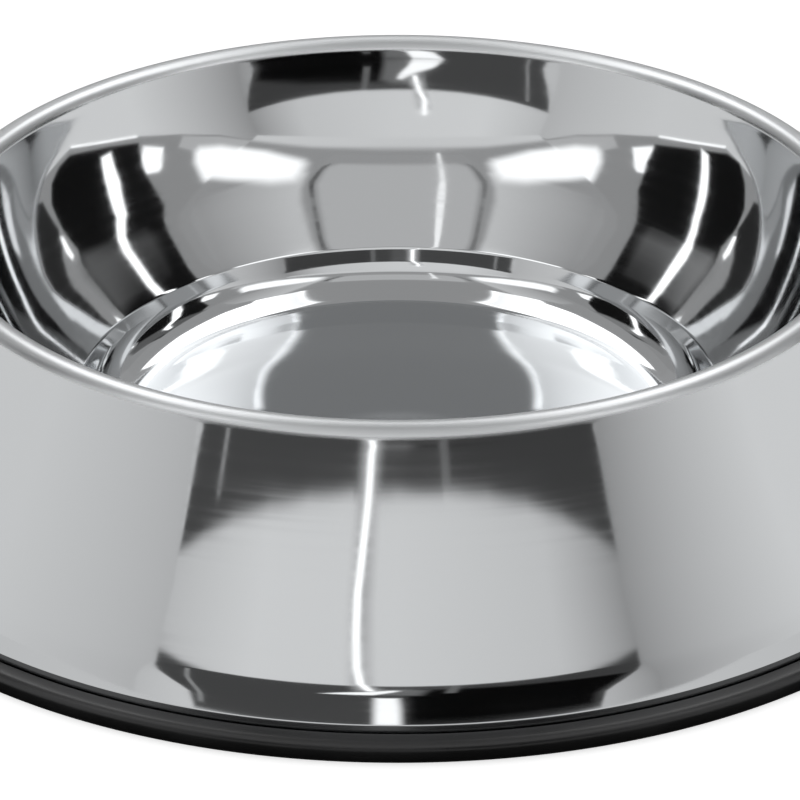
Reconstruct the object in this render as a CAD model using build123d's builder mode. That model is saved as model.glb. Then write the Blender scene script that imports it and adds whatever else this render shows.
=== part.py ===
from build123d import *
from math import cos, radians, sin, tan
import os

# Stainless dog bowl, in millimetres. The axis is +Z and the origin lies on the floor under the centre.
# Two pieces: one deep-drawn sheet, folded over at the rim into a skirt, and a rubber ring on its lip.

# Sheet and rim
sheet = 0.7
bowl_height = 48.8
rim_radius = 82.1
rim_fold_radius = 2.9

# Dish: the wall leans outwards, steep under the rim and flatter below its bend, down to a low step
wall_lean = 17.5
wall_bend_depth = 16.0
wall_bend_share = 0.8
ledge_radius = 58.4
ledge_depth = 34.6
ledge_round_radius = 2.0
floor_step_width = 3.4
floor_step_depth = 8.1
floor_fillet_radius = 9.5

# Skirt: it flares below its bend, draws in again at its foot and ends in an upright lip
skirt_lean = 25.5
skirt_bend_depth = 14.0
skirt_bend_upper_share = 0.8
skirt_bend_lower_share = 0.45
foot_lean = 17.0
foot_bend_rise = 4.7
foot_bend_upper_share = 0.16
foot_bend_lower_share = 0.4
lip_radius = 107.4
lip_show = 1.2
lip_bend_radius = 1.2

# Rubber ring: an upright slot takes the lip, and the top slopes down to a rounded outer edge
ring_height = 4.4
ring_slope = 0.5
ring_web = 1.5
ring_overhang = 3.6
ring_inset = 5.0
fit_gap = 0.3
ring_crown_share = 0.35
ring_foot_share = 0.36
ring_inner_round_share = 0.15


def bend_radius(before, corner, after, run):
    """Radius of the arc that rounds a corner and touches both its lines at the distance run."""
    turn = (corner - before).get_angle(after - corner)
    return run / tan(radians(turn) / 2)


# Corners of the visible skin, as radius and height
wall_up = Vector(sin(radians(wall_lean)), cos(radians(wall_lean)))
skirt_up = Vector(-sin(radians(skirt_lean)), cos(radians(skirt_lean)))
half_fold = radians((wall_lean + skirt_lean) / 2)
fold_centre = Vector(rim_radius, bowl_height - rim_fold_radius)
fold_run = rim_fold_radius / tan(half_fold)

floor_height = bowl_height - ledge_depth - floor_step_depth
rim_corner = fold_centre + (wall_up + skirt_up).normalized() * (rim_fold_radius / sin(half_fold))
wall_run = (rim_corner.Y - bowl_height + wall_bend_depth) / cos(radians(wall_lean))
skirt_run = (rim_corner.Y - bowl_height + skirt_bend_depth) / cos(radians(skirt_lean))

floor_centre = Vector(0, floor_height)
floor_corner = Vector(ledge_radius - floor_step_width, floor_height)
ledge_corner = Vector(ledge_radius, bowl_height - ledge_depth)
wall_corner = rim_corner - wall_up * wall_run
skirt_corner = rim_corner - skirt_up * skirt_run
lip_corner = Vector(lip_radius, ring_height + lip_show)
foot_corner = lip_corner + Vector(-foot_bend_rise * tan(radians(foot_lean)), foot_bend_rise)
lip_end = Vector(lip_radius, ring_web)

# Each gentle bend takes its share of the straight runs beside it
flare_run = (skirt_corner - foot_corner).length
foot_run = (foot_corner - lip_corner).length
wall_bend_run = wall_bend_share * min(wall_run - fold_run, (wall_corner - ledge_corner).length)
skirt_bend_run = min(skirt_bend_upper_share * (skirt_run - fold_run), skirt_bend_lower_share * flare_run)
foot_bend_run = min(foot_bend_upper_share * flare_run, foot_bend_lower_share * foot_run)
wall_bend_radius = bend_radius(ledge_corner, wall_corner, rim_corner, wall_bend_run)
skirt_bend_radius = bend_radius(rim_corner, skirt_corner, foot_corner, skirt_bend_run)
foot_bend_radius = bend_radius(skirt_corner, foot_corner, lip_corner, foot_bend_run)

# Steel bowl: dish, folded rim, skirt and lip in one sheet
with BuildPart() as steel_bowl:
    with BuildSketch(Plane.XZ):
        with BuildLine():
            FilletPolyline(
                floor_centre,
                floor_corner,
                ledge_corner,
                wall_corner,
                rim_corner,
                skirt_corner,
                foot_corner,
                lip_corner,
                lip_end,
                radius=[
                    floor_fillet_radius,
                    ledge_round_radius,
                    wall_bend_radius,
                    rim_fold_radius,
                    skirt_bend_radius,
                    foot_bend_radius,
                    lip_bend_radius,
                ],
            )
            offset(amount=sheet, side=Side.RIGHT)
        make_face()
    revolve(axis=Axis.Z)

# Rubber ring: a low band with rounded edges, and the slot for the lip
ring_outer_radius = lip_radius + ring_overhang
ring_inner_radius = lip_radius - sheet - ring_inset
slot_outer_radius = lip_radius + fit_gap
slot_inner_radius = lip_radius - sheet - fit_gap

with BuildPart() as rubber_ring:
    with BuildSketch(Plane.XZ) as ring_section:
        with BuildLine():
            Polyline(
                (ring_inner_radius, 0),
                (ring_outer_radius, 0),
                (ring_outer_radius, ring_height - ring_slope),
                (slot_outer_radius, ring_height),
                (slot_outer_radius, ring_web),
                (slot_inner_radius, ring_web),
                (slot_inner_radius, ring_height),
                (ring_inner_radius, ring_height),
                close=True,
            )
        make_face()
        outer_corners = ring_section.vertices().group_by(Axis.X)[-1].sort_by(Axis.Y)
        fillet(outer_corners[-1], ring_crown_share * ring_height)
        outer_foot = ring_section.vertices().group_by(Axis.X)[-1].sort_by(Axis.Y)
        fillet(outer_foot[0], ring_foot_share * ring_height)
        inner_corners = ring_section.vertices().group_by(Axis.X)[0]
        fillet(inner_corners, ring_inner_round_share * ring_height)
    revolve(axis=Axis.Z)

steel_bowl.part.label = "steel_bowl"
rubber_ring.part.label = "rubber_ring"

os.makedirs("parts", exist_ok=True)
export_step(steel_bowl.part, "parts/steel_bowl.step")
export_step(rubber_ring.part, "parts/rubber_ring.step")
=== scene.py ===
from math import ceil, cos, pi, radians, sin, tan

import bmesh
import bpy
from bpy.props import FloatProperty, FloatVectorProperty, IntProperty, PointerProperty
from mathutils import Matrix, Vector


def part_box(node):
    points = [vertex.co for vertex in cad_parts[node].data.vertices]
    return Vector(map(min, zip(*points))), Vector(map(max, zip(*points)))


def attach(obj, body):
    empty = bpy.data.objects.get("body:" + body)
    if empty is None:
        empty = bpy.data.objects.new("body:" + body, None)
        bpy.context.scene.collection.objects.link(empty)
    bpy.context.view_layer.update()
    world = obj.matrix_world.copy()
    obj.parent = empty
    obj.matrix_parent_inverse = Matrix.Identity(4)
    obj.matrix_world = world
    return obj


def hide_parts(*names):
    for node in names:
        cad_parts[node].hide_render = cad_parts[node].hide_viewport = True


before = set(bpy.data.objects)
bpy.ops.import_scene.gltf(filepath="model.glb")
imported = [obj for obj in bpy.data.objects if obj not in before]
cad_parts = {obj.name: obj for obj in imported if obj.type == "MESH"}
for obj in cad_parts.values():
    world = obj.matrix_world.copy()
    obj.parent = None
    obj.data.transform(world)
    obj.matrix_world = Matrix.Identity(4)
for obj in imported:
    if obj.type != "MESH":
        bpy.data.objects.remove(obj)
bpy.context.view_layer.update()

bl_info = {
    "name": "Stainless Dog Bowl",
    "version": (1, 0, 0),
    "blender": (4, 5, 0),
    "location": "3D View > Sidebar > Dog Bowl",
    "description": "Builds a polished steel pet bowl, its rubber ring and a small studio around them",
    "category": "Object",
}

STEEL_LOW, STEEL_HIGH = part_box("steel_bowl")
RING_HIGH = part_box("rubber_ring")[1]
WELD = 0.000001


# Settings


def length(name, description, default):
    """A size in metres."""
    return FloatProperty(name=name, description=description, default=default, precision=5, unit="LENGTH")


def lean(name, description, degrees):
    """An angle away from the upright."""
    return FloatProperty(name=name, description=description, default=radians(degrees), subtype="ANGLE")


def share(name, description, default):
    """A part of one."""
    return FloatProperty(
        name=name, description=description, default=default, min=0, max=1, subtype="FACTOR"
    )


def colour(name, description, default):
    """A linear colour."""
    return FloatVectorProperty(
        name=name, description=description, default=default, size=3, min=0, max=1, subtype="COLOR"
    )


class SteelSizes(bpy.types.PropertyGroup):
    """Sizes of the drawn steel sheet."""

    sheet: length("Sheet", "Thickness of the sheet", 0.0007)
    height: length("Height", "Top of the rim above the floor", STEEL_HIGH.z)
    rim_radius: length("Rim radius", "Axis to the top of the rim", 0.0821)
    rim_fold: length("Rim fold", "Radius that the sheet is folded to", 0.0029)
    wall_lean: lean("Wall lean", "Lean of the dish wall under the rim", 17.5)
    wall_bend_depth: length("Wall bend depth", "Rim top to the bend in the wall", 0.016)
    wall_bend: share("Wall bend", "Part of the straight wall that the bend takes", 0.8)
    ledge_radius: length("Ledge radius", "Axis to the edge at the foot of the wall", 0.0584)
    ledge_depth: length("Ledge depth", "Rim top to that edge", 0.0346)
    ledge_round: length("Ledge rounding", "Radius of the edge", 0.002)
    step_width: length("Step width", "Edge to the foot of the step below it", 0.0034)
    step_depth: length("Step depth", "Edge down to the dish floor", 0.0081)
    floor_fillet: length("Floor fillet", "Radius between the step and the floor", 0.0095)
    skirt_lean: lean("Skirt lean", "Lean of the skirt under the rim", 25.5)
    skirt_bend_depth: length("Skirt bend depth", "Rim top to the bend in the skirt", 0.014)
    skirt_bend_upper: share("Skirt bend above", "Part of the run above that the bend takes", 0.8)
    skirt_bend_lower: share("Skirt bend below", "Part of the run below that the bend takes", 0.45)
    foot_lean: lean("Foot lean", "Lean of the skirt at its foot", 17)
    foot_bend_rise: length("Foot bend rise", "Lip to the bend at the skirt's foot", 0.0047)
    foot_bend_upper: share("Foot bend above", "Part of the run above that the bend takes", 0.16)
    foot_bend_lower: share("Foot bend below", "Part of the run below that the bend takes", 0.4)
    lip_radius: length("Lip radius", "Axis to the outside of the upright lip", STEEL_HIGH.x)
    lip_show: length("Lip show", "Height of the lip that shows above the ring", 0.0012)
    lip_bend: length("Lip bend", "Radius between the skirt and the lip", 0.0012)
    segments: IntProperty(name="Segments", description="Faces around the axis", default=360, min=24)


class RingSizes(bpy.types.PropertyGroup):
    """Sizes of the moulded rubber ring."""

    outer_radius: length("Outer radius", "Axis to the outside of the ring", RING_HIGH.x)
    height: length("Height", "Top of the ring beside the slot", RING_HIGH.z)
    slope: length("Slope", "Drop of the top towards the outer edge", 0.0005)
    web: length("Web", "Rubber under the lip", STEEL_LOW.z)
    inset: length("Inset", "Rubber inside the lip", 0.005)
    gap: length("Gap", "Play on each side of the lip", 0.0003)
    crown: share("Crown", "Rounding of the outer top edge, as part of the height", 0.35)
    foot: share("Foot", "Rounding of the outer bottom edge, as part of the height", 0.36)
    inner_round: share("Inner rounding", "Rounding of the inner edges, as part of the height", 0.15)
    slot_round: length("Slot rounding", "Radius of the slot's top edges", 0.0003)
    segments: IntProperty(name="Segments", description="Faces around the axis", default=360, min=24)


class Finishes(bpy.types.PropertyGroup):
    """Colours and gloss of the two materials."""

    steel_colour: colour("Steel", "Reflection colour of the polished steel", (0.588, 0.60, 0.61))
    steel_roughness: share("Steel roughness", "Roughness of the polished steel", 0.05)
    rim_roughness: share("Rim roughness", "Roughness of the worn rim", 0.35)
    rubber_colour: colour("Rubber", "Colour of the moulded rubber", (0.005, 0.005, 0.0055))
    rubber_roughness: share("Rubber roughness", "Roughness of the moulded rubber", 0.33)


class StudioSizes(bpy.types.PropertyGroup):
    """Sizes and brightness of the studio."""

    view_distance: length("View distance", "Camera to the point that it looks at", 0.880)
    view_height: length("View height", "Height of the point that the camera looks at", 0.01083)
    view_rise: lean("View rise", "Height of the camera above the horizon, as an angle", 27.1)
    lens: FloatProperty(name="Lens", description="Focal length in millimetres", default=215.4, min=1)
    shift: FloatProperty(name="Shift", description="Sideways shift of the picture", default=0.0023)
    tent_front: length("Tent front", "Axis to the tent's front cloth", 0.60)
    tent_side: length("Tent side", "Axis to the tent's side cloths", 0.60)
    tent_back: length("Tent back", "Axis to the tent's back cloth", 0.80)
    tent_height: length("Tent height", "Floor to the tent's roof", 0.60)
    cloth_glow: FloatProperty(name="Cloth glow", description="Brightness of the cloth", default=0.92)
    fill_light: FloatProperty(name="Fill light", description="Brightness of the soft fill", default=0.5)
    floor_lift: FloatProperty(name="Floor lift", description="Glow that pales the shadow", default=0.72)
    floor_size: length("Floor size", "Width of the floor", 30)


# Sections, as lines of radius and height


def run_to(line, end, step):
    """Adds points up to the end of a straight run, no further apart than the step."""
    start = line[-1]
    count = max(1, ceil((end - start).length / step))
    for i in range(1, count + 1):
        line.append(start.lerp(end, i / count))


def rounded_line(corners, radii, arc_step, run_step):
    """Points along straight runs whose inner corners are rounded by tangent arcs, within two steps."""
    line = [corners[0]]
    for before, corner, after, radius in zip(corners, corners[1:], corners[2:], radii):
        towards_before = (before - corner).normalized()
        towards_after = (after - corner).normalized()
        turn = pi - towards_before.angle(towards_after)
        centre = corner + (towards_before + towards_after).normalized() * (radius / cos(turn / 2))
        arm = corner + towards_before * (radius * tan(turn / 2)) - centre
        if towards_before.cross(towards_after) > 0:
            turn = -turn
        run_to(line, centre + arm, run_step)
        count = max(2, ceil(abs(turn) / arc_step))
        for i in range(1, count + 1):
            line.append(centre + Matrix.Rotation(turn * i / count, 2) @ arm)
    run_to(line, corners[-1], run_step)
    return line


def bend_radius(before, corner, after, run):
    """Radius of the arc that rounds a corner and touches both its lines at the distance run."""
    turn = (corner - before).angle(after - corner)
    return run / tan(turn / 2)


def behind(line, distance):
    """The line moved to its right by a distance, point by point."""
    moved = []
    last = len(line) - 1
    for i, point in enumerate(line):
        along = (line[min(i + 1, last)] - line[max(i - 1, 0)]).normalized()
        moved.append(point + Vector((along.y, -along.x)) * distance)
    return moved


def steel_skin(sizes):
    """The visible side of the sheet, from the middle of the dish floor to the end of the lip."""
    wall_up = Vector((sin(sizes.wall_lean), cos(sizes.wall_lean)))
    skirt_up = Vector((-sin(sizes.skirt_lean), cos(sizes.skirt_lean)))
    half_fold = (sizes.wall_lean + sizes.skirt_lean) / 2
    fold_centre = Vector((sizes.rim_radius, sizes.height - sizes.rim_fold))
    fold_run = sizes.rim_fold / tan(half_fold)
    rim = fold_centre + (wall_up + skirt_up).normalized() * (sizes.rim_fold / sin(half_fold))
    wall_run = (rim.y - sizes.height + sizes.wall_bend_depth) / cos(sizes.wall_lean)
    skirt_run = (rim.y - sizes.height + sizes.skirt_bend_depth) / cos(sizes.skirt_lean)

    ledge_height = sizes.height - sizes.ledge_depth
    floor_height = ledge_height - sizes.step_depth
    floor = Vector((sizes.ledge_radius - sizes.step_width, floor_height))
    ledge = Vector((sizes.ledge_radius, ledge_height))
    wall = rim - wall_up * wall_run
    skirt = rim - skirt_up * skirt_run
    lip = Vector((sizes.lip_radius, RING_HIGH.z + sizes.lip_show))
    foot = lip + Vector((-sizes.foot_bend_rise * tan(sizes.foot_lean), sizes.foot_bend_rise))
    flare_run = (skirt - foot).length
    foot_run = (foot - lip).length

    wall_bend = sizes.wall_bend * min(wall_run - fold_run, (wall - ledge).length)
    skirt_bend = min(sizes.skirt_bend_upper * (skirt_run - fold_run), sizes.skirt_bend_lower * flare_run)
    foot_bend = min(sizes.foot_bend_upper * flare_run, sizes.foot_bend_lower * foot_run)
    corners = [
        Vector((0, floor_height)),
        floor,
        ledge,
        wall,
        rim,
        skirt,
        foot,
        lip,
        Vector((sizes.lip_radius, STEEL_LOW.z + sizes.sheet / 2)),
    ]
    radii = [
        sizes.floor_fillet,
        sizes.ledge_round,
        bend_radius(ledge, wall, rim, wall_bend),
        sizes.rim_fold,
        bend_radius(rim, skirt, foot, skirt_bend),
        bend_radius(skirt, foot, lip, foot_bend),
        sizes.lip_bend,
    ]
    return rounded_line(corners, radii, arc_step=radians(3.4), run_step=0.0027)


def steel_section(sizes):
    """The whole sheet: visible side, round edge of the lip, and the hidden side back to the axis."""
    skin = steel_skin(sizes)
    hidden = behind(skin, sizes.sheet)
    edge_centre = (skin[-1] + hidden[-1]) / 2
    edge_steps = 8
    edge = []
    for i in range(1, edge_steps):
        edge.append(edge_centre + Matrix.Rotation(-pi * i / edge_steps, 2) @ (skin[-1] - edge_centre))
    hidden[0].x = 0
    return skin + edge + hidden[::-1]


def ring_section(sizes, sheet, lip_radius):
    """The closed section of the rubber ring, with the slot for the lip on its top."""
    inner = lip_radius - sheet - sizes.inset
    slot_outer = lip_radius + sizes.gap
    slot_inner = lip_radius - sheet - sizes.gap
    corners = [
        Vector(((inner + slot_inner) / 2, 0)),
        Vector((sizes.outer_radius, 0)),
        Vector((sizes.outer_radius, sizes.height - sizes.slope)),
        Vector((slot_outer, sizes.height)),
        Vector((slot_outer, sizes.web)),
        Vector((slot_inner, sizes.web)),
        Vector((slot_inner, sizes.height)),
        Vector((inner, sizes.height)),
        Vector((inner, 0)),
        Vector(((inner + slot_inner) / 2, 0)),
    ]
    inner_round = sizes.inner_round * sizes.height
    radii = [
        sizes.foot * sizes.height,
        sizes.crown * sizes.height,
        sizes.slot_round,
        sizes.slot_round,
        sizes.slot_round,
        sizes.slot_round,
        inner_round,
        inner_round,
    ]
    return rounded_line(corners, radii, arc_step=radians(8), run_step=0.0008)


# Turned pieces


def add_node(tree, kind, *places, **settings):
    """A node with its settings, and its inputs linked or set in order."""
    node = tree.nodes.new(kind)
    for name, value in settings.items():
        setattr(node, name, value)
    for socket, value in places:
        target = node.inputs[socket]
        if isinstance(value, bpy.types.NodeSocket):
            tree.links.new(value, target)
        else:
            target.default_value = value
    return node


def math_node(tree, operation, *values):
    """The result of one sum."""
    places = list(enumerate(values))
    return add_node(tree, "ShaderNodeMath", *places, operation=operation).outputs[0]


def turned_section_tree():
    """Geometry nodes that turn a section's points, in order, once around the Z axis."""
    tree = bpy.data.node_groups.new("Turned section", "GeometryNodeTree")
    tree.interface.new_socket("Section", in_out="INPUT", socket_type="NodeSocketGeometry")
    tree.interface.new_socket("Segments", in_out="INPUT", socket_type="NodeSocketInt")
    tree.interface.new_socket("Material", in_out="INPUT", socket_type="NodeSocketMaterial")
    tree.interface.new_socket("Piece", in_out="OUTPUT", socket_type="NodeSocketGeometry")
    given = tree.nodes.new("NodeGroupInput").outputs
    points = add_node(
        tree, "GeometryNodeAttributeDomainSize", ("Geometry", given["Section"]), component="MESH"
    ).outputs["Point Count"]
    rows = math_node(tree, "ADD", given["Segments"], 1)
    grid = add_node(tree, "GeometryNodeMeshGrid", ("Vertices X", rows), ("Vertices Y", points))

    index = tree.nodes.new("GeometryNodeInputIndex").outputs[0]
    place = math_node(tree, "MODULO", index, points)
    row = math_node(tree, "FLOOR", math_node(tree, "DIVIDE", index, points))
    angle = math_node(tree, "MULTIPLY", row, math_node(tree, "DIVIDE", 2 * pi, given["Segments"]))
    sample = add_node(
        tree,
        "GeometryNodeSampleIndex",
        ("Geometry", given["Section"]),
        ("Value", tree.nodes.new("GeometryNodeInputPosition").outputs[0]),
        ("Index", place),
        data_type="FLOAT_VECTOR",
        domain="POINT",
    )
    section = add_node(tree, "ShaderNodeSeparateXYZ", (0, sample.outputs["Value"])).outputs
    turned = add_node(
        tree,
        "ShaderNodeCombineXYZ",
        ("X", math_node(tree, "MULTIPLY", section["X"], math_node(tree, "COSINE", angle))),
        ("Y", math_node(tree, "MULTIPLY", section["X"], math_node(tree, "SINE", angle))),
        ("Z", section["Z"]),
    )
    moved = add_node(
        tree,
        "GeometryNodeSetPosition",
        ("Geometry", grid.outputs["Mesh"]),
        ("Position", turned.outputs[0]),
    )
    joined = add_node(
        tree, "GeometryNodeMergeByDistance", ("Geometry", moved.outputs[0]), ("Distance", WELD)
    )
    smooth = add_node(tree, "GeometryNodeSetShadeSmooth", ("Geometry", joined.outputs[0]))
    real = add_node(tree, "GeometryNodeRealizeInstances", ("Geometry", smooth.outputs[0]))
    finished = add_node(
        tree, "GeometryNodeSetMaterial", ("Geometry", real.outputs[0]), ("Material", given["Material"])
    )
    add_node(tree, "NodeGroupOutput", ("Piece", finished.outputs[0]))
    return tree


def turned_piece(name, section, segments, material):
    """A plain mesh piece, turned from a section by geometry nodes."""
    start = bpy.data.meshes.new(name + "_section")
    start.from_pydata([(point.x, 0, point.y) for point in section], [], [])
    piece = bpy.data.objects.new(name, start)
    bpy.context.collection.objects.link(piece)
    tree = bpy.data.node_groups.get("Turned section") or turned_section_tree()
    modifier = piece.modifiers.new("Turned section", "NODES")
    modifier.node_group = tree
    sockets = {item.name: item.identifier for item in tree.interface.items_tree if item.in_out == "INPUT"}
    modifier[sockets["Segments"]] = segments
    modifier[sockets["Material"]] = material
    evaluated = piece.evaluated_get(bpy.context.evaluated_depsgraph_get())
    mesh = bpy.data.meshes.new_from_object(evaluated)
    piece.modifiers.remove(modifier)
    piece.data = mesh
    mesh.name = name
    bpy.data.meshes.remove(start)

    shape = bmesh.new()
    shape.from_mesh(mesh)
    bmesh.ops.remove_doubles(shape, verts=shape.verts, dist=WELD)
    bmesh.ops.recalc_face_normals(shape, faces=shape.faces)
    shape.to_mesh(mesh)
    shape.free()
    return piece


def stand_for(piece, node, body):
    """Lets a finished piece stand for its CAD node and ride on its body."""
    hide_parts(node)
    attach(piece, body)


# Finishes


def new_material(name):
    """A material with one Principled shader, and its tree and shader."""
    material = bpy.data.materials.new(name)
    material.use_nodes = True
    tree = material.node_tree
    return material, tree, tree.nodes["Principled BSDF"]


def polished_steel(finish):
    """Mirror-polished sheet, hardly wavy from drawing, with faint polishing lines and a worn rim."""
    material, tree, shader = new_material("polished_steel")
    shader.inputs["Base Color"].default_value = (*finish.steel_colour, 1)
    shader.inputs["Metallic"].default_value = 1
    place = tree.nodes.new("ShaderNodeTexCoord").outputs["Object"]
    axes = add_node(tree, "ShaderNodeSeparateXYZ", (0, place)).outputs
    flat = add_node(tree, "ShaderNodeCombineXYZ", ("X", axes["X"]), ("Y", axes["Y"])).outputs[0]
    radius = add_node(tree, "ShaderNodeVectorMath", (0, flat), operation="LENGTH").outputs["Value"]
    around = add_node(tree, "ShaderNodeVectorMath", (0, flat), operation="NORMALIZE").outputs[0]
    turn = add_node(tree, "ShaderNodeSeparateXYZ", (0, around)).outputs

    lines_per_metre = 900
    lines_place = add_node(
        tree,
        "ShaderNodeCombineXYZ",
        ("X", math_node(tree, "MULTIPLY", radius, lines_per_metre)),
        ("Y", math_node(tree, "MULTIPLY", axes["Z"], lines_per_metre)),
        ("Z", turn["X"]),
    )
    lines = add_node(
        tree,
        "ShaderNodeTexNoise",
        ("Vector", lines_place.outputs[0]),
        ("W", turn["Y"]),
        ("Scale", 1),
        ("Detail", 3),
        noise_dimensions="4D",
    ).outputs["Fac"]
    haze = add_node(
        tree, "ShaderNodeTexNoise", ("Vector", place), ("Scale", 45), ("Detail", 2)
    ).outputs["Fac"]
    waves = add_node(
        tree, "ShaderNodeTexNoise", ("Vector", place), ("Scale", 38), ("Detail", 1)
    ).outputs["Fac"]
    polished = finish.steel_roughness
    spread = add_node(
        tree,
        "ShaderNodeMapRange",
        ("Value", math_node(tree, "MULTIPLY", lines, haze)),
        ("From Min", 0.1),
        ("From Max", 0.45),
        ("To Min", 0.7 * polished),
        ("To Max", 1.7 * polished),
    )
    wear_and_sheen_start = STEEL_HIGH.z - 0.0026
    wear_and_sheen_full = STEEL_HIGH.z - 0.0010
    worn = add_node(
        tree,
        "ShaderNodeMapRange",
        ("Value", axes["Z"]),
        ("From Min", wear_and_sheen_start),
        ("From Max", wear_and_sheen_full),
        ("To Min", 0),
        ("To Max", finish.rim_roughness),
        interpolation_type="SMOOTHSTEP",
    )
    roughness = math_node(tree, "MAXIMUM", spread.outputs[0], worn.outputs[0])
    tree.links.new(roughness, shader.inputs["Roughness"])
    wave_height = 0.00002
    line_height = 0.0000004
    drawn = add_node(
        tree, "ShaderNodeBump", ("Height", waves), ("Strength", 1), ("Distance", wave_height)
    )
    lined = add_node(
        tree,
        "ShaderNodeBump",
        ("Height", lines),
        ("Strength", 1),
        ("Distance", line_height),
        ("Normal", drawn.outputs[0]),
    )
    tree.links.new(lined.outputs[0], shader.inputs["Normal"])
    return material


def black_rubber(finish):
    """Semi-matte moulded rubber with a fine grain and a trace of dust, with painted sheen that greys its
    top and painted shade that darkens its lower part.
    """
    material, tree, shader = new_material("black_rubber")
    shader.inputs["Specular IOR Level"].default_value = 0.6
    place = tree.nodes.new("ShaderNodeTexCoord").outputs["Object"]
    height = add_node(tree, "ShaderNodeSeparateXYZ", (0, place)).outputs["Z"]
    dust = add_node(
        tree, "ShaderNodeTexNoise", ("Vector", place), ("Scale", 60), ("Detail", 5)
    ).outputs["Fac"]
    grain = add_node(
        tree, "ShaderNodeTexNoise", ("Vector", place), ("Scale", 2200), ("Detail", 2)
    ).outputs["Fac"]
    # Painted sheen and shade: the base colour is darker below these heights and paler above them, as if
    # light fell on the top.
    wear_and_sheen_start = 0.0020
    wear_and_sheen_full = 0.0036
    painted_sheen_and_shade = add_node(
        tree,
        "ShaderNodeMapRange",
        ("Value", height),
        ("From Min", wear_and_sheen_start),
        ("From Max", wear_and_sheen_full),
        ("To Min", -0.25),
        ("To Max", 0.35),
        interpolation_type="SMOOTHSTEP",
    ).outputs[0]
    # Real dust, mixed with the painted sheen on the top and the painted shade low down.
    dust_and_painted_sheen = add_node(tree, "ShaderNodeValToRGB", (0, math_node(tree, "ADD", dust, painted_sheen_and_shade)))
    dark, pale = dust_and_painted_sheen.color_ramp.elements
    dark.position = 0.35
    dark.color = (*[0.3 * c for c in finish.rubber_colour], 1)
    pale.position = 0.95
    pale.color = (*[2 * c for c in finish.rubber_colour], 1)
    tree.links.new(dust_and_painted_sheen.outputs[0], shader.inputs["Base Color"])
    gloss = add_node(
        tree,
        "ShaderNodeMapRange",
        ("Value", dust),
        ("From Min", 0.3),
        ("From Max", 0.7),
        ("To Min", finish.rubber_roughness - 0.05),
        ("To Max", finish.rubber_roughness + 0.07),
    )
    tree.links.new(gloss.outputs[0], shader.inputs["Roughness"])
    bump = add_node(
        tree, "ShaderNodeBump", ("Height", grain), ("Strength", 0.35), ("Distance", 0.00004)
    )
    tree.links.new(bump.outputs[0], shader.inputs["Normal"])
    return material


# Studio


def stage_object(name, data):
    """An object of the studio, which is no part of the bowl."""
    item = bpy.data.objects.new(name, data)
    bpy.context.collection.objects.link(item)
    return item


def card_material():
    """Glow for the tent and its cards: each point has its brightness and how much it covers."""
    material = bpy.data.materials.new("studio_card")
    material.use_nodes = True
    tree = material.node_tree
    tree.nodes.clear()
    glow = add_node(tree, "ShaderNodeAttribute", attribute_name="glow").outputs["Fac"]
    cover = add_node(tree, "ShaderNodeAttribute", attribute_name="cover").outputs["Fac"]
    soft = add_node(tree, "ShaderNodeMapRange", ("Value", cover), interpolation_type="SMOOTHSTEP")
    light = add_node(tree, "ShaderNodeEmission", ("Color", (1, 1, 1, 1)), ("Strength", glow))
    clear = tree.nodes.new("ShaderNodeBsdfTransparent")
    mix = add_node(
        tree,
        "ShaderNodeMixShader",
        (0, soft.outputs[0]),
        (1, clear.outputs[0]),
        (2, light.outputs[0]),
    )
    add_node(tree, "ShaderNodeOutputMaterial", ("Surface", mix.outputs[0]))
    return material


class CardMesh:
    """Gathers flat cards with soft edges into one mesh."""

    def __init__(self):
        self.points = []
        self.faces = []
        self.glow = []
        self.cover = []

    def add(self, place, outline, glow, edge=0):
        """One card on a side of the room, with one glow or one for each corner, and a soft edge."""
        first = len(self.points)
        count = len(outline)
        corners = [Vector(corner) for corner in outline]
        glows = list(glow) if isinstance(glow, tuple) else [glow] * count
        turning = sum(a.cross(b) for a, b in zip(corners, corners[1:] + corners[:1]))
        if turning < 0:
            corners.reverse()
            glows.reverse()
        for inset, cover in ((0, 0), (edge, 1)):
            for i, corner in enumerate(corners):
                before = (corner - corners[i - 1]).normalized()
                after = (corners[(i + 1) % count] - corner).normalized()
                inward = Vector((-before.y - after.y, before.x + after.x))
                inward = inward * (2 / max(inward.length_squared, 0.5))
                self.points.append(place(corner + inward * inset))
                self.glow.append(glows[i])
                self.cover.append(cover)
        for i in range(count):
            j = (i + 1) % count
            self.faces.append((first + i, first + j, first + count + j, first + count + i))
        self.faces.append(tuple(range(first + count, first + 2 * count)))

    def build(self, name, material):
        """The finished object, which only reflections see."""
        mesh = bpy.data.meshes.new(name)
        mesh.from_pydata(self.points, [], self.faces)
        for attribute, values in (("glow", self.glow), ("cover", self.cover)):
            mesh.attributes.new(attribute, "FLOAT", "POINT").data.foreach_set("value", values)
        mesh.materials.append(material)
        item = stage_object(name, mesh)
        item.visible_camera = False
        item.visible_diffuse = False
        item.visible_shadow = False
        return item


class TentRoom:
    """The tent's sides and ground. Each gives a card's flat points their places, so many layers in."""

    layer = 0.002
    ground_layer = 0.00005

    def __init__(self, studio):
        self.half_width = studio.tent_side
        self.near = -studio.tent_front
        self.far = studio.tent_back
        self.top = studio.tent_height

    def front(self, depth):
        return lambda p: Vector((p.x, self.near + depth * self.layer, p.y))

    def back(self, depth):
        return lambda p: Vector((p.x, self.far - depth * self.layer, p.y))

    def roof(self, depth):
        return lambda p: Vector((p.x, p.y, self.top - depth * self.layer))

    def wall(self, side, depth):
        return lambda p: Vector((side * (self.half_width - depth * self.layer), p.x, p.y))

    def ground(self, depth):
        return lambda p: Vector((p.x, p.y, (depth - 2) * self.ground_layer))


def rectangle(low_u, low_v, high_u, high_v):
    """The four corners of an upright rectangle."""
    return [(low_u, low_v), (high_u, low_v), (high_u, high_v), (low_u, high_v)]


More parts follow.
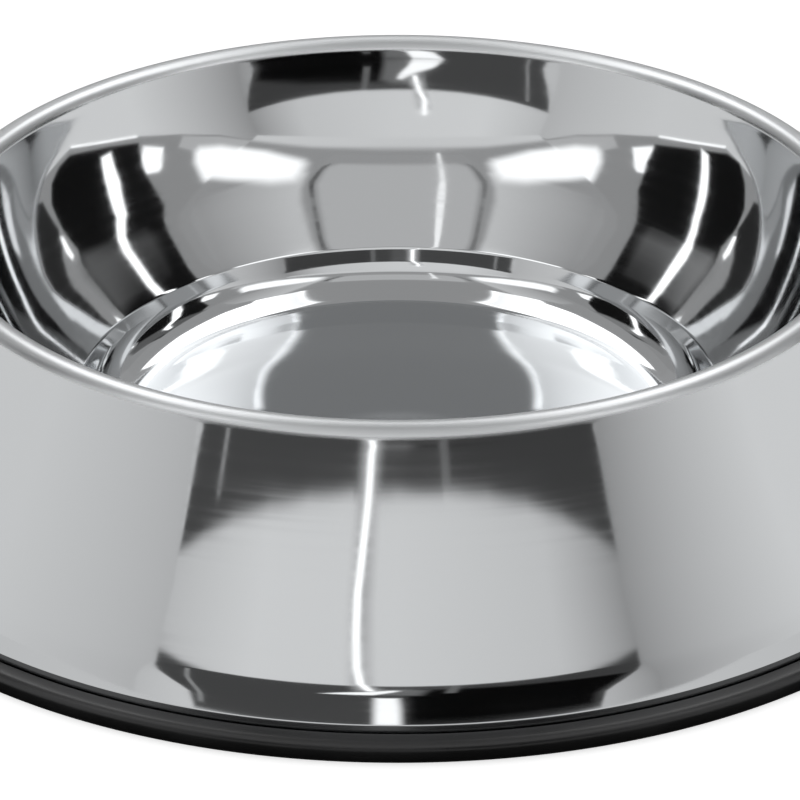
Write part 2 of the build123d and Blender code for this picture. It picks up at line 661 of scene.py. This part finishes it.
def circle(radius, count):
    """Points around a circle."""
    return [(radius * cos(2 * pi * i / count), radius * sin(2 * pi * i / count)) for i in range(count)]


def mirrored(outline, side):
    """An outline on one side of the middle or the other."""
    return [(side * x, y) for x, y in outline]


def both_halves(half):
    """An outline and its mirror image as one, from the points of one half."""
    return half + mirrored(half[::-1], -1)


def hang_cloth(cards, room, cloth):
    """The tent's cloth, which fades into the front corners, and shade on the ground around the ring."""
    stretches = (
        (-room.half_width, -0.30, 0.84, 1.08),
        (-0.30, 0, 1.08, 1.05),
        (0, 0.34, 1.05, 0.92),
        (0.34, room.half_width, 0.92, 0.46),
    )
    for start, end, start_share, end_share in stretches:
        first = start_share * cloth
        last = end_share * cloth
        cards.add(room.front(0), rectangle(start, 0, end, room.top), (first, last, last, first))
    cards.add(room.back(0), rectangle(-room.half_width, 0, room.half_width, room.top), 0.5 * cloth)
    plan = rectangle(-room.half_width, room.near, room.half_width, room.far)
    cards.add(room.roof(0), plan, cloth)
    cards.add(room.ground(0), plan, 0.9 * cloth)
    ring_shade = circle(0.134, 72)
    cards.add(room.ground(1), ring_shade, 0.03, 0.016)

    fade_end = -0.12
    for side, corner_share, middle_share in ((-1, 0.76, 1), (1, 0.48, 1.06)):
        corner = corner_share * cloth
        middle = middle_share * cloth
        fading = rectangle(room.near, 0, fade_end, room.top)
        cards.add(room.wall(side, 0), fading, (corner, middle, middle, corner))
        cards.add(room.wall(side, 0), rectangle(fade_end, 0, room.far, room.top), middle)


def open_front(cards, room):
    """A dark opening under a sagging edge, with lit gaps, a slash of light and a bright streak."""
    sag = [(x / 10, 0.305 + 0.35 * (x / 10) ** 2) for x in range(6)]
    post = [(0.60, 0.43), (0.58, 0.34), (0.55, 0.26), (0.47, 0.12), (0.41, 0.02), (0.40, 0)]
    overlap = -0.10
    opening = [(overlap, 0), (overlap, sag[1][1])] + sag + post
    depths = [(0, 0), (0.38, 0), (0.45, 0.12), (0.52, 0.25), (0.30, 0.275), (0, 0.275)]
    haze = [(-0.10, 0.17), (0.05, 0.17), (0.07, 0.26), (0.02, 0.285), (-0.09, 0.28)]
    halo = [(-0.085, 0.23), (-0.01, 0.23), (-0.03, 0.30), (-0.05, 0.42), (-0.12, 0.42), (-0.10, 0.30)]
    thin_gap = [(-0.385, 0.02), (-0.365, 0.02), (-0.425, 0.22)]
    thin_gap += [(-0.45, 0.35), (-0.47, 0.35), (-0.445, 0.22)]
    faint_gap = [(0.075, 0.20), (0.105, 0.20), (0.12, 0.302), (0.09, 0.302)]
    low_gap = [(-0.05, 0), (0.015, 0), (0.01, 0.16), (-0.05, 0.16)]
    slash = [(-0.15, 0.18), (-0.04, 0.18), (0, 0.225), (0.012, 0.25)]
    slash += [(-0.012, 0.255), (-0.045, 0.235), (-0.10, 0.215)]
    streak = [(-0.058, 0.23), (-0.036, 0.23), (-0.052, 0.30), (-0.07, 0.35), (-0.074, 0.44)]
    streak += [(-0.096, 0.44), (-0.092, 0.35), (-0.074, 0.30)]
    for depth, outline, glow, edge in (
        (1, opening, 0.068, 0.012),
        (2, mirrored(opening, -1), 0.085, 0.012),
        (3, depths, 0.003, 0.03),
        (4, haze, 0.22, 0.03),
        (5, halo, 0.60, 0.034),
        (6, thin_gap, 0.40, 0.006),
        (6, faint_gap, 0.20, 0.01),
        (6, low_gap, 1.7, 0.02),
        (7, slash, 1.7, 0.012),
        (8, streak, 2.2, 0.008),
    ):
        cards.add(room.front(depth), outline, glow, edge)


def roof_panel(cards, room):
    """Grey cloth with a framed panel in the roof's middle, a groove at each side and a thin streak."""
    grey = [(0.30, -0.53), (0.70, -0.58), (0.70, 0.90)]
    frame_edge = [(0.21, -0.47), (0.235, -0.40), (0.245, -0.28), (0.22, -0.18)]
    panel = [(0.17, -0.395), (0.205, -0.37), (0.218, -0.28), (0.20, -0.20), (0.18, -0.08)]
    middle = [(0.26, -0.22), (0.20, 0.14), (0.13, 0.33), (0.10, 0.86)]
    groove = [(0.185, -0.39), (0.215, -0.365), (0.234, -0.28), (0.224, -0.24)]
    groove += [(0.206, -0.24), (0.212, -0.28), (0.20, -0.35)]
    streak = [(-0.13, -0.46), (-0.115, -0.46), (-0.103, -0.30)]
    streak += [(-0.09, -0.26), (-0.12, -0.26), (-0.122, -0.30)]
    for depth, outline, glow, edge in (
        (1, both_halves(grey), 0.44, 0.05),
        (3, both_halves(frame_edge), 0.46, 0.025),
        (4, both_halves(panel), 0.67, 0.02),
        (5, both_halves(middle), 0.42, 0.035),
        (6, groove, 0.13, 0.007),
        (6, mirrored(groove, -1), 0.26, 0.007),
        (7, streak, 1.5, 0.005),
    ):
        cards.add(room.roof(depth), outline, glow, edge)


def roof_lights(cards, room):
    """Two softboxes that run on down the walls, pale cloth beside them, and two long lights behind."""
    pale = [(0.235, -0.34), (0.33, -0.32), (0.46, -0.22), (0.58, -0.11)]
    pale += [(0.56, 0), (0.40, 0.06), (0.235, 0.02)]
    pale_glow = (0.82, 0.74, 0.60, 0.44, 0.50, 0.62, 0.82)
    softbox = [(0.27, -0.42), (0.24, -0.38), (0.232, -0.31), (0.25, -0.255), (0.33, -0.225)]
    softbox += [(0.50, -0.20), (0.75, -0.18), (0.75, -0.50), (0.45, -0.475)]
    softbox_end = [(-0.53, 0.75), (-0.17, 0.75), (-0.175, 0.57), (-0.205, 0.46), (-0.24, 0.41)]
    softbox_end += [(-0.29, 0.40), (-0.39, 0.475), (-0.48, 0.58)]
    long_light = [(0.195, -0.05), (0.125, 0.14), (0.06, 0.33), (0.06, 0.45), (0.08, 0.72)]
    long_light += [(0.30, 0.72), (0.34, 0.40), (0.33, 0.18), (0.27, 0.03)]
    inner_edge = [(0.205, -0.02), (0.139, 0.14), (0.074, 0.33), (0.074, 0.42)]
    across = Vector((0.10, 0.06))
    full = 2.8
    dimmed = 1.5
    for side in (-1, 1):
        cards.add(room.roof(2), mirrored(pale, side), pale_glow, 0.025)
        cards.add(room.roof(8), mirrored(softbox, side), 1.8, 0.06)
        cards.add(room.wall(side, 2), softbox_end, 1.8, 0.05)
        cards.add(room.roof(8), mirrored(long_light, side), full, 0.014)
        for start, end in zip(inner_edge, inner_edge[1:]):
            fade = [start, end, Vector(end) + across, Vector(start) + across]
            cards.add(room.roof(9), mirrored(fade, side), (dimmed, dimmed, full, full))


def side_walls(cards, room):
    """Grey above a slanting edge, with a seam, a band, a dark end and small lights, on both sides."""
    slant = [(-0.70, 0.66), (-0.54, 0.58), (-0.40, 0.435), (-0.248, 0.316), (-0.11, 0.226)]
    slant += [(0, 0.17), (0.13, 0.104), (0.90, 0.10), (0.90, 0.70)]
    band = [(-0.70, 0.68), (-0.54, 0.585), (-0.40, 0.44), (-0.25, 0.32), (-0.20, 0.36)]
    band += [(-0.25, 0.43), (-0.36, 0.53), (-0.46, 0.62), (-0.52, 0.75), (-0.70, 0.75)]
    seam = [(-0.10, 0.215), (0, 0.165), (0.13, 0.096), (0.13, 0.108), (0, 0.178), (-0.10, 0.228)]
    square = [(-0.17, 0.32), (-0.10, 0.255), (-0.06, 0.30), (-0.03, 0.36), (-0.09, 0.40), (-0.115, 0.39)]
    dark_end = [(0.33, 0.14), (0.37, 0.12), (0.60, 0.24), (0.68, 0.30)]
    dark_end += [(0.60, 0.335), (0.50, 0.325), (0.40, 0.28), (0.35, 0.24)]
    chip = [(0.36, 0.265), (0.375, 0.25), (0.42, 0.30), (0.43, 0.33), (0.40, 0.33)]
    for side in (-1, 1):
        for depth, outline, glow, edge in (
            (1, slant, 0.40, 0.006),
            (1.5, band, 0.66, 0.015),
            (2, seam, 1.8, 0.003),
            (3, square, 1.9, 0.014),
            (4, dark_end, 0.03, 0.012),
            (5, chip, 2.2, 0.006),
        ):
            cards.add(room.wall(side, depth), outline, glow, edge)


def side_panels(cards, room):
    """A black panel on each side, dimly lit above, with a strip light that differs from side to side."""
    dim = [(0.02, 0.62), (0.11, 0.49), (0.25, 0.40), (0.36, 0.33)]
    dim += [(0.50, 0.34), (0.55, 0.45), (0.30, 0.65), (0.06, 0.65)]

    right = [(-0.095, 0.24), (0, 0.185), (0.14, 0.115), (0.20, 0.115), (0.26, 0.13), (0.31, 0.17)]
    right += [(0.345, 0.25), (0.37, 0.33), (0.42, 0.36), (0.46, 0.42), (0.40, 0.65), (0.12, 0.65)]
    right += [(0.10, 0.60), (0.045, 0.553), (-0.005, 0.52), (-0.03, 0.45), (-0.06, 0.33)]
    right_strip = [(0, 0.20), (0.05, 0.19), (0.10, 0.29), (0.16, 0.39), (0.235, 0.435), (0.27, 0.45)]
    right_strip += [(0.30, 0.55), (0.26, 0.55), (0.215, 0.475), (0.11, 0.42), (0.035, 0.31)]

    left = [(-0.10, 0.25), (0, 0.19), (0.14, 0.11), (0.20, 0.10), (0.26, 0.13), (0.32, 0.18)]
    left += [(0.35, 0.24), (0.37, 0.32), (0.42, 0.36), (0.46, 0.42), (0.40, 0.65), (0.14, 0.65)]
    left += [(0.12, 0.60), (0.075, 0.555), (0.015, 0.505), (-0.04, 0.45), (-0.09, 0.33)]
    left_strip = [(0.04, 0.155), (0.085, 0.155), (0.165, 0.26), (0.215, 0.335), (0.27, 0.39)]
    left_strip += [(0.32, 0.42), (0.34, 0.50), (0.28, 0.50), (0.24, 0.42), (0.18, 0.355), (0.11, 0.26)]

    for side, panel, dim_glow, dim_edge, strip, strip_edge in (
        (1, right, 0.15, 0.045, right_strip, 0.016),
        (-1, left, 0.30, 0.05, left_strip, 0.014),
    ):
        cards.add(room.wall(side, 6), panel, 0.008, 0.010)
        cards.add(room.wall(side, 7), dim, dim_glow, dim_edge)
        cards.add(room.wall(side, 8), strip, 2.6, strip_edge)


def light_tent(studio):
    """A pale cloth tent with an open front, lights in its roof and a black panel at each side."""
    cards = CardMesh()
    room = TentRoom(studio)
    hang_cloth(cards, room, studio.cloth_glow)
    open_front(cards, room)
    roof_panel(cards, room)
    roof_lights(cards, room)
    side_walls(cards, room)
    side_panels(cards, room)
    return cards.build("light_tent", card_material())


def seen_or_mirrored(tree):
    """One for rays from the camera, off a mirror or through glass, and nought for the rest."""
    path = tree.nodes.new("ShaderNodeLightPath").outputs
    bent = math_node(tree, "ADD", path["Is Glossy Ray"], path["Is Transmission Ray"])
    return math_node(tree, "ADD", path["Is Camera Ray"], bent)


def white_world(studio):
    """White where the camera or a mirror sees it, and a soft fill for the rest."""
    world = bpy.data.worlds.new("white_room")
    world.use_nodes = True
    tree = world.node_tree
    shown = seen_or_mirrored(tree)
    spare = math_node(tree, "SUBTRACT", 1, studio.fill_light)
    strength = math_node(tree, "MULTIPLY_ADD", shown, spare, studio.fill_light)
    backdrop = tree.nodes["Background"]
    backdrop.inputs["Color"].default_value = (1, 1, 1, 1)
    tree.links.new(strength, backdrop.inputs["Strength"])
    bpy.context.scene.world = world


def pale_floor(studio):
    """A white floor just under the ring, which keeps the bowl's shadow."""
    half = studio.floor_size / 2
    below = -0.0002
    corners = [(x, y, below) for x, y in rectangle(-half, -half, half, half)]
    mesh = bpy.data.meshes.new("floor")
    mesh.from_pydata(corners, [], [(0, 1, 2, 3)])
    material = bpy.data.materials.new("floor_white")
    material.use_nodes = True
    tree = material.node_tree
    shader = tree.nodes["Principled BSDF"]
    shader.inputs["Base Color"].default_value = (0.9, 0.9, 0.9, 1)
    shader.inputs["Roughness"].default_value = 1
    shader.inputs["Specular IOR Level"].default_value = 0
    shader.inputs["Emission Color"].default_value = (1, 1, 1, 1)
    lift = math_node(tree, "MULTIPLY", seen_or_mirrored(tree), studio.floor_lift)
    tree.links.new(lift, shader.inputs["Emission Strength"])
    mesh.materials.append(material)
    return stage_object("floor", mesh)


def aimed_camera(studio):
    """The camera at the photograph's viewing angle."""
    data = bpy.data.cameras.new("camera")
    data.sensor_width = 36
    data.lens = studio.lens
    data.shift_x = studio.shift
    camera = bpy.data.objects.new("camera", data)
    bpy.context.collection.objects.link(camera)
    back = studio.view_distance * cos(studio.view_rise)
    up = studio.view_height + studio.view_distance * sin(studio.view_rise)
    camera.location = (0, -back, up)
    camera.rotation_euler = (pi / 2 - studio.view_rise, 0, 0)
    bpy.context.scene.camera = camera


# Operators and panel


class BOWL_OT_steel(bpy.types.Operator):
    """Turn the steel bowl from its section"""

    bl_idname = "dog_bowl.steel"
    bl_label = "Steel Bowl"

    def execute(self, context):
        settings = context.scene.dog_bowl
        material = polished_steel(settings.finishes)
        section = steel_section(settings.steel)
        piece = turned_piece("bowl_skin", section, settings.steel.segments, material)
        stand_for(piece, "steel_bowl", "bowl")
        return {"FINISHED"}


class BOWL_OT_ring(bpy.types.Operator):
    """Turn the rubber ring from its section"""

    bl_idname = "dog_bowl.ring"
    bl_label = "Rubber Ring"

    def execute(self, context):
        settings = context.scene.dog_bowl
        material = black_rubber(settings.finishes)
        section = ring_section(settings.ring, settings.steel.sheet, settings.steel.lip_radius)
        piece = turned_piece("foot_ring", section, settings.ring.segments, material)
        stand_for(piece, "rubber_ring", "ring")
        return {"FINISHED"}


class BOWL_OT_studio(bpy.types.Operator):
    """Set up the floor, the light tent and the camera"""

    bl_idname = "dog_bowl.studio"
    bl_label = "Studio"

    def execute(self, context):
        studio = context.scene.dog_bowl.studio
        pale_floor(studio)
        light_tent(studio)
        white_world(studio)
        aimed_camera(studio)
        context.scene.view_settings.view_transform = "Standard"
        return {"FINISHED"}


class BowlSettings(bpy.types.PropertyGroup):
    """All the settings of the bowl."""

    steel: PointerProperty(name="Steel", description="Sizes of the steel bowl", type=SteelSizes)
    ring: PointerProperty(name="Ring", description="Sizes of the rubber ring", type=RingSizes)
    finishes: PointerProperty(name="Finishes", description="Colours and gloss", type=Finishes)
    studio: PointerProperty(name="Studio", description="Camera, floor and lights", type=StudioSizes)


class BOWL_PT_panel(bpy.types.Panel):
    """Lists the pieces of the bowl and their settings"""

    bl_idname = "BOWL_PT_panel"
    bl_label = "Dog Bowl"
    bl_space_type = "VIEW_3D"
    bl_region_type = "UI"
    bl_category = "Dog Bowl"

    def draw(self, context):
        settings = context.scene.dog_bowl
        groups = (
            (settings.steel, BOWL_OT_steel),
            (settings.ring, BOWL_OT_ring),
            (settings.finishes, None),
            (settings.studio, BOWL_OT_studio),
        )
        for group, operator in groups:
            box = self.layout.box()
            for name in group.bl_rna.properties.keys():
                if name not in ("rna_type", "name"):
                    box.prop(group, name)
            if operator:
                box.operator(operator.bl_idname)


CLASSES = (
    SteelSizes,
    RingSizes,
    Finishes,
    StudioSizes,
    BowlSettings,
    BOWL_OT_steel,
    BOWL_OT_ring,
    BOWL_OT_studio,
    BOWL_PT_panel,
)


def register():
    for item in CLASSES:
        bpy.utils.register_class(item)
    bpy.types.Scene.dog_bowl = PointerProperty(type=BowlSettings)


def unregister():
    del bpy.types.Scene.dog_bowl
    for item in reversed(CLASSES):
        bpy.utils.unregister_class(item)


def main():
    register()
    bpy.ops.dog_bowl.steel()
    bpy.ops.dog_bowl.ring()
    bpy.ops.dog_bowl.studio()


if __name__ == "__main__":
    main()
